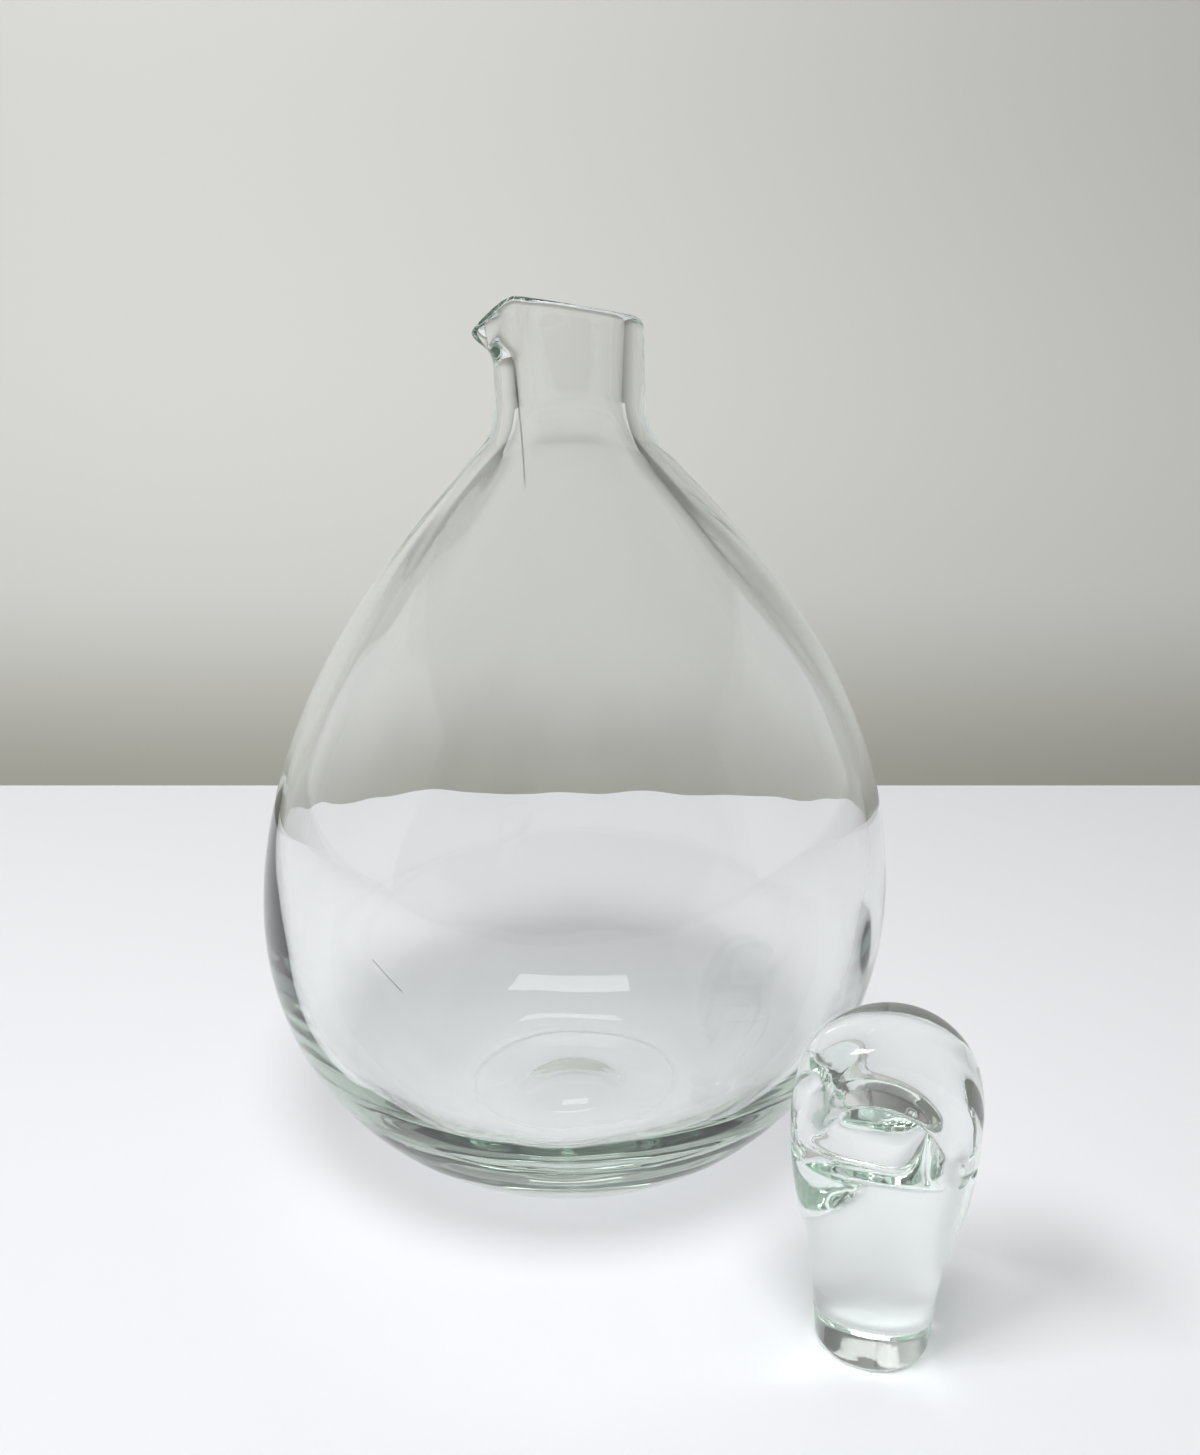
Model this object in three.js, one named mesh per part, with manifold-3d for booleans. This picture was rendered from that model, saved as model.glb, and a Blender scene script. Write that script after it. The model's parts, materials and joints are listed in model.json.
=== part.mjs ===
// Free-blown glass decanter with its solid glass stopper standing beside it.
// Millimetres, +Z up, resting on the plane Z = 0. The pouring lip points along -X.
import * as THREE from 'three';
import { mergeVertices } from 'three/addons/utils/BufferGeometryUtils.js';
import Module from 'manifold-3d';

const wasm = await Module();
wasm.setup();

// Vessel: outside
const rimHeight = 200;
const bellyRadius = 74.7;
const bellyHeight = 64;
const baseRadius = 27.7;
const neckLength = 26.5;
const neckFillet = 5;
const shoulderAngle = THREE.MathUtils.degToRad(45.3);
const shoulderReach = 42.3;
const upperFullness = 41;
const lowerFullness = 40.8;
const footReach = 15;

// Vessel: wall and inside
const boreMouthRadius = 12.4;
const boreTaper = 0.9;
const rimWall = 4.3;
const boreFillet = 4;
const shoulderWall = 5.6;
const bellyWall = 3.8;
const hollowRise = 3;
const hollowFullness = 41;
const baseThickness = 8.4;
const floorReach = 45;

// Vessel: ground mark under the base
const pontilRadius = 14.3;
const pontilDepth = 1.6;

// Vessel: hand-made departures from a true round
const sway = 1.1;
const rimSlope = 0.154;
const lipReach = 4.6;
const lipDroop = 7;
const lipDepth = 14;
const lipHalfAngle = THREE.MathUtils.degToRad(46);

// Stopper: tapered plug, which wedges in the mouth at the seat depth
const seatClearance = 0.15;
const seatDepth = 13;
const plugTaper = 1.05;
const plugEdge = 1.4;

// Stopper: flattened head above the plug
const crownHeight = 42.5;
const crownRise = 1.2;
const headSwell = 4.5;
const headHalfWidth = 17.8;
const headHalfDepth = 11.8;
const headSquareness = 2.7;

// Stopper: hollow pressed into the back of the head, at its left
const pressSide = -12;
const pressHeight = 35;
const pressRadius = 13;
const pressDepth = 3.6;

// Stopper: tongue folded over the head
const archSpring = 10;
const archRise = 19.2;
const archLean = 1.2;
const archHalfDepth = 10.5;
const tongueSquareness = 2.6;
const limbFootRise = 3.5;
const rootDepth = 12;
const rootInset = 6;
const rootThickness = 7.4;
const rightRootHalfDepth = 9;
const leftRootHalfDepth = 6;

// Stopper: gap inside the fold
const gapSpring = 6.5;
const gapRise = 7;
const gapLean = -2;
const gapHalfWidth = 9.8;
const gapSquareness = 6;

// Stopper: rounded end of the tongue, curled back onto the crown of the head
const tipEnd = 7.8;
const tipHalfThickness = 6;
const tipHalfDepth = 9.5;
const tipBend = 8;
const tipSink = 0.2;
const tipForward = 0.8;

// Place of the stopper beside the vessel
const standingGap = 7.5;
const standingAngle = THREE.MathUtils.degToRad(-52.6);
const stopperTurn = THREE.MathUtils.degToRad(-14);

// Fineness of the facets
const roundSteps = 48;
const ringSteps = 24;
const weldTolerance = 1e-4;

// Sizes that follow from the ones above
const boreThroatRadius = boreMouthRadius - boreTaper;
const neckRadius = boreMouthRadius + rimWall;
const plugSeatRadius = boreMouthRadius - seatClearance;
const plugEndRadius = plugSeatRadius - plugTaper;
const headHeight = crownHeight + headSwell;
const limbFootHeight = crownHeight + limbFootRise;
const archCentreHeight = crownHeight + archSpring;
const gapCentreHeight = crownHeight + gapSpring;
const limbHalfThickness = (headHalfWidth - gapHalfWidth) / 2;

const { lerp, smoothstep } = THREE.MathUtils;

// Drops normals and texture coordinates, joins equal corners and leaves out collapsed triangles.
function weld(geometry) {
  geometry.deleteAttribute('normal');
  geometry.deleteAttribute('uv');
  const merged = mergeVertices(geometry, weldTolerance);
  const corners = merged.index.array;
  const kept = [];
  for (let i = 0; i < corners.length; i += 3) {
    const [a, b, c] = corners.slice(i, i + 3);
    if (a !== b && b !== c && c !== a) {
      kept.push(a, b, c);
    }
  }
  merged.setIndex(kept);
  return merged;
}

// Closed skin over rings of equally many points, with both ends filled from their middle.
function loft(rings) {
  const count = rings[0].length;
  const points = rings.flat();
  const triangles = [];
  for (let i = 0; i + 1 < rings.length; i += 1) {
    for (let j = 0; j < count; j += 1) {
      const a = i * count + j;
      const b = i * count + (j + 1) % count;
      triangles.push(a, b, b + count, a, b + count, a + count);
    }
  }
  const last = (rings.length - 1) * count;
  const middleOf = (ring) => ring.reduce((sum, p) => sum.add(p), new THREE.Vector3()).divideScalar(count);
  points.push(middleOf(rings[0]), middleOf(rings.at(-1)));
  for (let j = 0; j < count; j += 1) {
    const next = (j + 1) % count;
    triangles.push(points.length - 2, next, j);
    triangles.push(points.length - 1, last + j, last + next);
  }
  const geometry = new THREE.BufferGeometry().setFromPoints(points);
  geometry.setIndex(triangles);
  return geometry;
}

// Rounded ring in the plane across a path that runs in the XZ plane. A squareness of 2 is an ellipse,
// and the half on the inside of a bend can have its own.
function ovalRing(centre, forward, halfThickness, halfDepth, squareness, depthShift = 0,
  innerSquareness = squareness) {
  const swell = (value, corner) => Math.sign(value) * Math.abs(value) ** (2 / corner);
  const ring = [];
  for (let j = 0; j < ringSteps; j += 1) {
    const turn = 2 * Math.PI * j / ringSteps;
    const corner = Math.cos(turn) < 0 ? innerSquareness : squareness;
    const across = halfThickness * swell(Math.cos(turn), corner);
    const depth = halfDepth * swell(Math.sin(turn), corner) + depthShift;
    ring.push(new THREE.Vector3(centre.x + across * forward.y, depth, centre.y - across * forward.x));
  }
  return ring;
}

// One solid from several overlapping ones.
function join(geometries) {
  const solids = geometries.map((geometry) => {
    const welded = weld(geometry);
    return new wasm.Manifold(new wasm.Mesh({
      numProp: 3,
      vertProperties: new Float32Array(welded.getAttribute('position').array),
      triVerts: new Uint32Array(welded.index.array),
    }));
  });
  const mesh = solids.reduce((whole, solid) => whole.add(solid)).getMesh();
  const geometry = new THREE.BufferGeometry();
  geometry.setAttribute('position', new THREE.BufferAttribute(mesh.vertProperties, 3));
  geometry.setIndex(new THREE.BufferAttribute(mesh.triVerts, 1));
  return geometry;
}

function glass(colour) {
  return new THREE.MeshStandardMaterial({ color: colour, roughness: 0.02, metalness: 0 });
}

// Point beside a corner, along the slope of the shoulder.
function downShoulder(radius, height, distance) {
  return [radius + distance * Math.cos(shoulderAngle), height - distance * Math.sin(shoulderAngle)];
}

function curvePoints(curve, steps) {
  return new THREE.CubicBezierCurve(...curve.map(([r, z]) => new THREE.Vector2(r, z))).getPoints(steps);
}

function bendPoints(from, corner, to, steps) {
  const [a, b, c] = [from, corner, to].map(([r, z]) => new THREE.Vector2(r, z));
  return new THREE.QuadraticBezierCurve(a, b, c).getPoints(steps);
}

// Half section of the vessel, from the middle of the ground mark round to the middle of the inside floor.
function vesselProfile() {
  const neckBase = rimHeight - neckLength;
  const innerBelly = bellyRadius - bellyWall;
  const hollowHeight = bellyHeight + hollowRise;
  const neckWall = neckRadius - boreThroatRadius;
  const wallDrop = (shoulderWall - neckWall * Math.sin(shoulderAngle)) / Math.cos(shoulderAngle);
  const boreBase = neckBase - wallDrop;
  const rimRound = (neckRadius - boreMouthRadius) / 2;
  const bend = downShoulder(neckRadius, neckBase, neckFillet);
  const boreBend = downShoulder(boreThroatRadius, boreBase, boreFillet);

  const mark = bendPoints([0, pontilDepth], [pontilRadius / 2, pontilDepth], [pontilRadius, 0], 4);
  const lower = curvePoints([[baseRadius, 0], [baseRadius + footReach, 0],
    [bellyRadius, bellyHeight - lowerFullness], [bellyRadius, bellyHeight]], 9);
  const upper = curvePoints([[bellyRadius, bellyHeight], [bellyRadius, bellyHeight + upperFullness],
    downShoulder(...bend, shoulderReach), bend], 9);
  const neck = bendPoints(bend, [neckRadius, neckBase], [neckRadius, neckBase + neckFillet], 4);
  const neckRise = [0.35, 0.7].map((share) => new THREE.Vector2(neckRadius,
    lerp(neckBase + neckFillet, rimHeight - rimRound, share)));
  const rim = new THREE.EllipseCurve(neckRadius - rimRound, rimHeight - rimRound,
    rimRound, rimRound, 0, Math.PI).getPoints(6);
  const bore = [0.3, 0.65].map((share) => new THREE.Vector2(lerp(boreMouthRadius, boreThroatRadius, share),
    lerp(rimHeight - rimRound, boreBase + boreFillet, share)));
  const throat = bendPoints([boreThroatRadius, boreBase + boreFillet], [boreThroatRadius, boreBase],
    boreBend, 3);
  const innerUpper = curvePoints([boreBend, downShoulder(...boreBend, shoulderReach),
    [innerBelly, bellyHeight + upperFullness], [innerBelly, hollowHeight]], 8);
  const innerLower = curvePoints([[innerBelly, hollowHeight], [innerBelly, hollowHeight - hollowFullness],
    [floorReach, baseThickness], [0, baseThickness]], 9);
  const stretches = [mark, lower, upper, neck, neckRise, rim, bore, throat, innerUpper, innerLower];
  const points = stretches.flat();
  return points.filter((p, i) => i === 0 || p.distanceTo(points[i - 1]) > weldTolerance);
}

// Sideways drift of the blown wall at a height, which is zero at the widest place.
function drift(height) {
  return sway * Math.sin(2 * Math.PI * (height - bellyHeight) / rimHeight);
}

// Leans the rim, pulls the pouring lip out of it and lets the wall drift.
function shapeByHand(point) {
  const { x, y, z } = point;
  const lipTurn = Math.abs(Math.atan2(y, -x)) / lipHalfAngle;
  const lipRound = lipTurn < 1 ? (1 + Math.cos(Math.PI * lipTurn)) / 2 : 0;
  const lip = lipRound * smoothstep(z, rimHeight - lipDepth, rimHeight);
  const lean = smoothstep(z, rimHeight - neckLength, rimHeight) * rimSlope;
  const radius = Math.hypot(x, y);
  const spread = radius > 0 ? (radius + lipReach * lip) / radius : 1;
  point.set(x * spread + drift(z), y * spread, z - lean * x - lipDroop * lip);
}

function vesselGeometry() {
  const lathe = new THREE.LatheGeometry(vesselProfile(), roundSteps).rotateX(Math.PI / 2);
  const skin = weld(lathe);
  const place = skin.getAttribute('position');
  const point = new THREE.Vector3();
  for (let i = 0; i < place.count; i += 1) {
    point.fromBufferAttribute(place, i);
    shapeByHand(point);
    place.setXYZ(i, point.x, point.y, point.z);
  }
  return skin;
}

// Plug that grows from the seat into the flattened head.
function plugRings() {
  const up = new THREE.Vector2(0, 1);
  const plugRadius = (z) => plugEndRadius + (plugSeatRadius - plugEndRadius) * z / seatDepth;
  const ringAt = (z, height, keep, trim) => {
    const flare = smoothstep(z, seatDepth, headHeight);
    const halfWidth = lerp(plugRadius(z), headHalfWidth, flare) * keep - trim;
    const halfDepth = lerp(plugRadius(z), headHalfDepth, flare) * keep - trim;
    const ring = ovalRing(new THREE.Vector2(0, height), up, halfWidth, halfDepth,
      lerp(2, headSquareness, flare));
    for (const point of ring) {
      const reach = Math.hypot(point.x - pressSide, point.z - pressHeight) / pressRadius;
      if (keep === 1 && point.y > 0) {
        point.y -= pressDepth * (1 - smoothstep(reach, 0, 1));
      }
    }
    return ring;
  };
  const edge = [0, 0.5, 1].map((share) => {
    const turn = share * Math.PI / 2;
    const z = plugEdge * (1 - Math.cos(turn));
    return ringAt(z, z, 1, plugEdge * (1 - Math.sin(turn)));
  });
  const sides = [1, 2, 3, 4, 5, 6, 7, 8].map((k) => {
    const z = lerp(plugEdge, crownHeight, k / 8);
    return ringAt(z, z, 1, 0);
  });
  const crown = [0.3, 0.6, 0.85].map((share) => {
    const turn = share * Math.PI / 2;
    return ringAt(crownHeight, crownHeight + crownRise * Math.sin(turn), Math.cos(turn), 0);
  });
  return [...edge, ...sides, ...crown];
}

// Outer and inner edge of the tongue in its own plane, from the right root over the arch to the left root.
function tongueEdges() {
  const side = (outer, inner, shares) => shares.map((share) => [outer, inner].map(([from, to]) =>
    new THREE.Vector2(...from).lerp(new THREE.Vector2(...to), share)));
  const rootHeight = limbFootHeight - rootDepth;
  const rootOuter = [headHalfWidth - rootInset, rootHeight];
  const rootInner = [headHalfWidth - rootInset - rootThickness, rootHeight];
  const foot = [[headHalfWidth, limbFootHeight], [gapHalfWidth, limbFootHeight]];
  const spring = [[headHalfWidth, archCentreHeight], [gapHalfWidth, gapCentreHeight]];
  const right = [...side([rootOuter, foot[0]], [rootInner, foot[1]], [0, 0.35, 0.7]),
    ...side([foot[0], spring[0]], [foot[1], spring[1]], [0, 0.5])];
  const left = right.map((pair) => pair.map((p) => new THREE.Vector2(-p.x, p.y))).reverse();
  const arch = [];
  for (let k = 0; k <= 16; k += 1) {
    const turn = Math.PI * k / 16;
    const rise = Math.sin(turn);
    arch.push([
      new THREE.Vector2(headHalfWidth * Math.cos(turn) + archLean * rise, archCentreHeight + archRise * rise),
      new THREE.Vector2(gapHalfWidth * Math.cos(turn) + gapLean * rise, gapCentreHeight + gapRise * rise),
    ]);
  }
  return [...right, ...arch, ...left];
}

// Tongue: out of the right side of the head, over in a thick arch and back into the head on the left.
function archRings() {
  return tongueEdges().map(([outer, inner]) => {
    const centre = outer.clone().add(inner).divideScalar(2);
    const across = outer.clone().sub(inner);
    const forward = new THREE.Vector2(-across.y, across.x).normalize();
    const rise = smoothstep(centre.y, limbFootHeight - rootDepth, archCentreHeight);
    const halfDepth = lerp(centre.x > 0 ? rightRootHalfDepth : leftRootHalfDepth, archHalfDepth, rise);
    return ovalRing(centre, forward, across.length() / 2, halfDepth, tongueSquareness, 0, gapSquareness);
  });
}

// Rounded end of the tongue, which bends out of the left limb and lies along the crown of the head.
function tipRings() {
  const height = crownHeight + tipHalfThickness - tipSink;
  const limbX = limbHalfThickness - headHalfWidth;
  const roundFrom = tipEnd - tipHalfThickness;
  const path = new THREE.Path();
  path.moveTo(limbX, archCentreHeight);
  path.quadraticCurveTo(limbX, height, limbX + tipBend, height);
  path.lineTo(roundFrom, height);
  const steps = 9;
  const rings = [];
  for (let k = 0; k <= steps; k += 1) {
    const share = k / steps;
    const halfThickness = lerp(limbHalfThickness, tipHalfThickness, share);
    const halfDepth = lerp(archHalfDepth, tipHalfDepth, share);
    rings.push(ovalRing(path.getPointAt(share), path.getTangentAt(share), halfThickness, halfDepth,
      tongueSquareness, -tipForward * share, lerp(gapSquareness, tongueSquareness, share)));
  }
  for (const share of [0.35, 0.65, 0.87]) {
    const turn = share * Math.PI / 2;
    const keep = Math.cos(turn);
    const centre = new THREE.Vector2(roundFrom + tipHalfThickness * Math.sin(turn), height);
    rings.push(ovalRing(centre, new THREE.Vector2(1, 0), tipHalfThickness * keep, tipHalfDepth * keep,
      tongueSquareness, -tipForward));
  }
  return rings;
}

const vessel = new THREE.Mesh(vesselGeometry(), glass(0xe6efe9));
vessel.name = 'vessel';

const stopper = new THREE.Mesh(join([plugRings(), archRings(), tipRings()].map(loft)), glass(0xdfeae2));
stopper.name = 'stopper';
const standingDistance = bellyRadius + standingGap + headHalfWidth;
stopper.position.set(standingDistance * Math.cos(standingAngle), standingDistance * Math.sin(standingAngle), 0);
stopper.rotation.z = stopperTurn;

// The origin is the middle of the footprint of the pair, on the plane that they stand on.
const decanter = new THREE.Group();
decanter.add(vessel, stopper);
const box = new THREE.Box3().setFromObject(decanter, true);
const middle = box.getCenter(new THREE.Vector3());
decanter.position.set(-middle.x, -middle.y, -box.min.z);
decanter.updateMatrixWorld(true);

export default decanter;
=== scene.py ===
"""Clear glass decanter with its stopper standing beside it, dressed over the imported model."""
import json
import math

import bpy
from mathutils import Matrix, Vector


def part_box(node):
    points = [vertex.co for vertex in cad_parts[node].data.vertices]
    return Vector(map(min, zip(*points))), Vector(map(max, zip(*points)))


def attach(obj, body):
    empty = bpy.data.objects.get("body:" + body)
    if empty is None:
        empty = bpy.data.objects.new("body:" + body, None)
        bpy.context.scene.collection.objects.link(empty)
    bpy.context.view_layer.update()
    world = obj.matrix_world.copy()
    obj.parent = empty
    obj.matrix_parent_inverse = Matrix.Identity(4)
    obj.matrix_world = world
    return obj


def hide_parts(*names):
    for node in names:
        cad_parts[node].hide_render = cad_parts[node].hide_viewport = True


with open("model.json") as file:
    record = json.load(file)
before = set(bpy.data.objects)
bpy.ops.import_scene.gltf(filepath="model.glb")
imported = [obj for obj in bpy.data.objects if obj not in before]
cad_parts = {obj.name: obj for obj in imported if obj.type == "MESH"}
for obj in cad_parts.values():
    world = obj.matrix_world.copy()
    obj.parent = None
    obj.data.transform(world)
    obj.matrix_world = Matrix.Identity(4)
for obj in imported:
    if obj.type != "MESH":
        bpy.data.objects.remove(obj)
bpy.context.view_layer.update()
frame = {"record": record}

bl_info = {
    "name": "Glass Decanter",
    "version": (1, 0, 0),
    "blender": (4, 5, 0),
    "location": "View3D > Sidebar > Decanter",
    "description": "Builds a blown glass decanter, its curled stopper and a plain stage",
    "category": "Add Mesh",
}

VESSEL_LOW, VESSEL_HIGH = (Vector(corner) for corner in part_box("vessel"))
VESSEL_AXIS = Vector(((VESSEL_LOW.x + VESSEL_HIGH.x) / 2, (VESSEL_LOW.y + VESSEL_HIGH.y) / 2, 0.0))
STOPPER_FOOT = next(Vector(m["pos_m"]) for m in frame["record"]["mounts"] if m["name"] == "stopper_foot")
CREASE_ANGLE = math.radians(40.0)
POLISH_STRENGTH, POLISH_ROUNDS = 0.5, 8
GLASS_BOUNCES = 32
SENSOR_WIDTH = 36.0

# Steps along the stretches of the vessel's section
MARK_STEPS, FLAT_STEPS, BODY_STEPS, FLOOR_STEPS = 12, 6, 48, 56
FILLET_STEPS, NECK_STEPS, RIM_STEPS = 8, 14, 14

# Steps along the stretches of the stopper's skins
EDGE_STEPS, PLUG_STEPS, CROWN_STEPS = 6, 40, 8
ROOT_STEPS, LIMB_STEPS, ARCH_STEPS = 16, 8, 64
TIP_BEND_STEPS, TIP_STEPS, TIP_ROUND_STEPS = 24, 16, 10

# Heights over which the unevenness of the wall sets in and dies away, and the height that its waves span
WAVES_BEGIN, WAVES_END, WAVE_SPAN = (0.008, 0.03), (0.15, 0.175), 0.2

# Each wave's share, its turns around the vessel, its climb over the height and its shift
WAVES = ((0.5, 5, 9.0, 1.0), (0.3, 11, -17.0, 2.1), (0.2, 19, 31.0, 3.7))
OUTER_PHASE, INNER_PHASE = 0.7, 4.1

# Scuffed ring, scratches and streaks of the vessel
RING_EDGE, RING_TOP, RING_ROUGHNESS = (0.0003, 0.0012), (0.0002, 0.001), 0.3
SCRATCH_SCALE, SCRATCH_EDGE, SCRATCH_ROUGHNESS = 70.0, (0.001, 0.005), 0.12
PATCH_SCALE, PATCH_EDGE = 35.0, (0.62, 0.7)
STREAK_SCALE, STREAK_STRETCH, STREAK_STRENGTH = 60.0, (1.0, 1.0, 0.25), 0.06

# Dark line down the neck and nick on the belly, placed from the foot of the vessel's axis
NECK_LINE_SIDE, NECK_LINE_HEIGHT, NECK_LINE_LEAN, NECK_LINE_EDGE = -0.0095, 0.164, -0.1136, (0.00012, 0.0003)
NECK_LINE_FOOT, NECK_LINE_TOP = (0.162, 0.166), (0.184, 0.188)
NICK_SIDE, NICK_HEIGHT, NICK_FALL, NICK_EDGE = -0.039, 0.0745, 0.8, (0.0001, 0.00025)
NICK_LEFT, NICK_RIGHT, NICK_BREAKS = (-0.0392, -0.0388), (-0.033, -0.0325), (0.45, 0.5)
CLEAR, MARKED = (1.0, 1.0, 1.0, 1.0), (0.3, 0.32, 0.31, 1.0)

# Where the front half and the outer faces of neck and belly begin, and how the neck flares below its foot
FRONT, NECK_FACE, BELLY_FACE = (-0.004, 0.0), (0.0135, 0.0138), (0.0733, 0.0737)
NECK_FOOT, NECK_FLARE = 0.175, 0.5

# Tool marks and specks of the stopper, and the depth of every bump
TOOL_SCALE, TOOL_STRENGTH = 90.0, 0.08
SPECK_SCALE, SPECK_EDGE, SPECK_ROUGHNESS = 900.0, (0.74, 0.8), 0.15
BUMP_DEPTH = 0.0006

# Gap that keeps the table clear of the glass, the reach of the backdrop, and how rough both are
TABLE_DROP = 0.0002
BACKDROP_SIDE, BACKDROP_LOW, BACKDROP_HIGH = 3, -1.5, 2.5
TABLE_ROUGHNESS, BACKDROP_ROUGHNESS = 0.5, 0.9

# Heights, or places from left to right, over which the backdrop's tone changes, and how much darker it gets:
# painted shade, with a painted shadow low down behind the table's edge
FOOT_FADE = (-0.31, -0.04)
# Painted shade towards the right and high up, where the light falls off
RIGHT_FADE, RIGHT_PAINTED_SHADE = (-0.8, 0.8), 0.06
LIFT_FADE, LIFT_PAINTED_SHADE = (-0.05, 0.55), 0.3
DUSK_FADE, DUSK_PAINTED_SHADE = (0.5, 0.7), 0.5

# Groups of pieces that lights fall on or are shaded by
BESIDE, VESSEL, WASHED = "all but the vessel", "the vessel alone", "under the wash"

# Each light's name, group, place and aim from the foot of the vessel's axis, size, and power in watts
LIGHTS = (
    ("ceiling", BESIDE, (-0.1, -0.4, 1.6), (-0.1, -0.4, 0.0), (2.2, 2.0), 4.5),
    ("canopy", BESIDE, (0.0, -0.7, 1.58), (0.0, 0.0, 0.0), (0.6, 0.6), 13.0),
    ("key", BESIDE, (-0.8, -0.5, 1.2), (0.0, 0.0, 0.05), (0.6, 0.3), 11.0),
    ("side panel", VESSEL, (-1.3, 0.1, 0.5), (0.0, 0.1, 0.1), (1.6, 0.9), 1.8),
    ("side panel", VESSEL, (1.3, 0.1, 0.5), (0.0, 0.1, 0.1), (1.6, 0.9), 1.8),
    ("rim light", VESSEL, (0.0, 0.45, 1.3), (0.0, 0.0, 0.1), (0.5, 0.25), 1.6),
    ("wall wash", WASHED, (-0.6, 0.3, 1.4), (-0.1, 1.1, 0.1), (1.2, 0.4), 9.0),
)

# Lights that no glass mirrors, and lights that the vessel throws no shadow from
NOT_MIRRORED = ("ceiling", "canopy")
NOT_SHADED_BY_VESSEL = ("ceiling", "key")


def length(name, description, default):
    """Size in metres."""
    return bpy.props.FloatProperty(name=name, description=description, default=default, unit="LENGTH",
                                   subtype="DISTANCE", precision=5)


def angle(name, description, degrees):
    """Angle, given in degrees."""
    return bpy.props.FloatProperty(name=name, description=description, default=math.radians(degrees),
                                   unit="ROTATION", subtype="ANGLE")


def colour(name, description, default):
    """Colour in linear red, green and blue."""
    return bpy.props.FloatVectorProperty(name=name, description=description, default=default, size=3,
                                         subtype="COLOR", min=0.0, max=1.0)


def number(name, description, default):
    """Plain number."""
    return bpy.props.FloatProperty(name=name, description=description, default=default, precision=4)


class VesselSizes(bpy.types.PropertyGroup):
    """Sizes of the blown vessel."""
    rim_height: length("Rim height", "Height of the rim at the axis, before it leans", 0.200)
    belly_radius: length("Belly radius", "Largest radius outside", (VESSEL_HIGH.x - VESSEL_LOW.x) / 2)
    belly_height: length("Belly height", "Height of the widest place", 0.064)
    base_radius: length("Base radius", "Radius of the flat under the body", 0.0277)
    neck_radius: length("Neck radius", "Radius of the neck outside", 0.0167)
    neck_length: length("Neck length", "From the bend of the shoulder up to the rim", 0.0265)
    neck_fillet: length("Neck fillet", "Reach of the round between shoulder and neck", 0.007)
    shoulder_angle: angle("Shoulder angle", "Slope of the shoulder below the neck", 45.3)
    shoulder_reach: length("Shoulder reach", "How far the shoulder keeps its slope", 0.0423)
    upper_fullness: length("Upper fullness", "How far the belly stays upright above its widest place", 0.041)
    lower_fullness: length("Lower fullness", "How far the belly stays upright below its widest place", 0.0408)
    foot_reach: length("Foot reach", "How far the body stays flat beyond the base", 0.015)
    bore_mouth_radius: length("Mouth radius", "Radius of the bore at the rim", 0.0124)
    bore_throat_radius: length("Throat radius", "Radius of the bore at the foot of the neck", 0.0115)
    bore_fillet: length("Bore fillet", "Reach of the round between bore and shoulder", 0.009)
    shoulder_wall: length("Shoulder wall", "Thickness of the glass at the shoulder", 0.0056)
    belly_wall: length("Belly wall", "Thickness of the glass at the widest place", 0.0038)
    hollow_rise: length("Hollow rise", "How far above the belly the inside is widest", 0.003)
    hollow_fullness: length("Hollow fullness", "How far the inside stays upright below its widest place",
                            0.041)
    base_thickness: length("Base thickness", "Thickness of the glass over the base", 0.0084)
    floor_reach: length("Floor reach", "How far the inside floor stays flat", 0.045)
    pontil_radius: length("Ground mark radius", "Radius of the ground hollow under the base", 0.0143)
    pontil_depth: length("Ground mark depth", "Depth of the ground hollow under the base", 0.0016)
    sway: length("Sway", "Sideways drift of the wall with height", 0.0011)
    rim_slope: number("Rim slope", "Fall of the rim away from the lip", 0.154)
    lip_reach: length("Lip reach", "How far the lip is pulled out", 0.0046)
    lip_droop: length("Lip droop", "How far the lip hangs down", 0.007)
    lip_depth: length("Lip depth", "Height of neck that the lip draws on", 0.014)
    lip_half_angle: angle("Lip half angle", "Half of the turn that the lip takes up", 46.0)
    waviness: length("Waviness", "Unevenness of the blown wall", 0.0001)


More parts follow.
